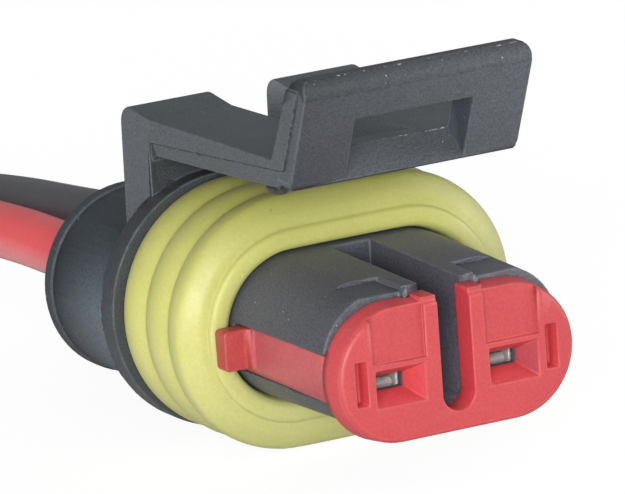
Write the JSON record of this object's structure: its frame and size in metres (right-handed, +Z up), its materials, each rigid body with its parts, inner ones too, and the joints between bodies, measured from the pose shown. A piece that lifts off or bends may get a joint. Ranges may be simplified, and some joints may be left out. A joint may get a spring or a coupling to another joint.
{
  "type": "sealed automotive connector plug",
  "caption": "Sealed two-way wire connector plug with a latch arm, a ribbed face seal, a sliding secondary lock and a pair of short free leads.",
  "frame": {"origin": "On the mating face, midway between the two terminals, at the height of the terminals' centre line.", "axes": "+X across the two ways, +Y from the mating face back towards the leads, +Z up towards the latch."},
  "size_m": [0.0184, 0.127, 0.0197],
  "materials": {
    "housing_plastic": "moulded charcoal plastic with a fine spark-eroded grain",
    "seal_silicone": "soft translucent yellow-green silicone",
    "lock_plastic": "moulded red plastic, satin",
    "tinned_metal": "tin plated copper alloy",
    "wire_seal_silicone": "soft yellow silicone",
    "red_insulation": "semi-gloss red insulation",
    "black_insulation": "semi-gloss black insulation",
    "copper_strands": "bright twisted copper strands"
  },
  "bodies": {
    "plug": {"plug_housing": "housing_plastic", "interface_seal": "seal_silicone", "left_terminal": "tinned_metal", "right_terminal": "tinned_metal", "left_wire_seal": "wire_seal_silicone", "right_wire_seal": "wire_seal_silicone", "red_lead": "red_insulation", "black_lead": "black_insulation", "red_strands": "copper_strands", "black_strands": "copper_strands"},
    "lock": {"secondary_lock": "lock_plastic"}
  },
  "joints": [
    {"name": "lock_slide", "type": "slide", "parent": "plug", "child": "lock", "axis": [0, -1, 0], "range_m": [0, 0.0018]}
  ]
}
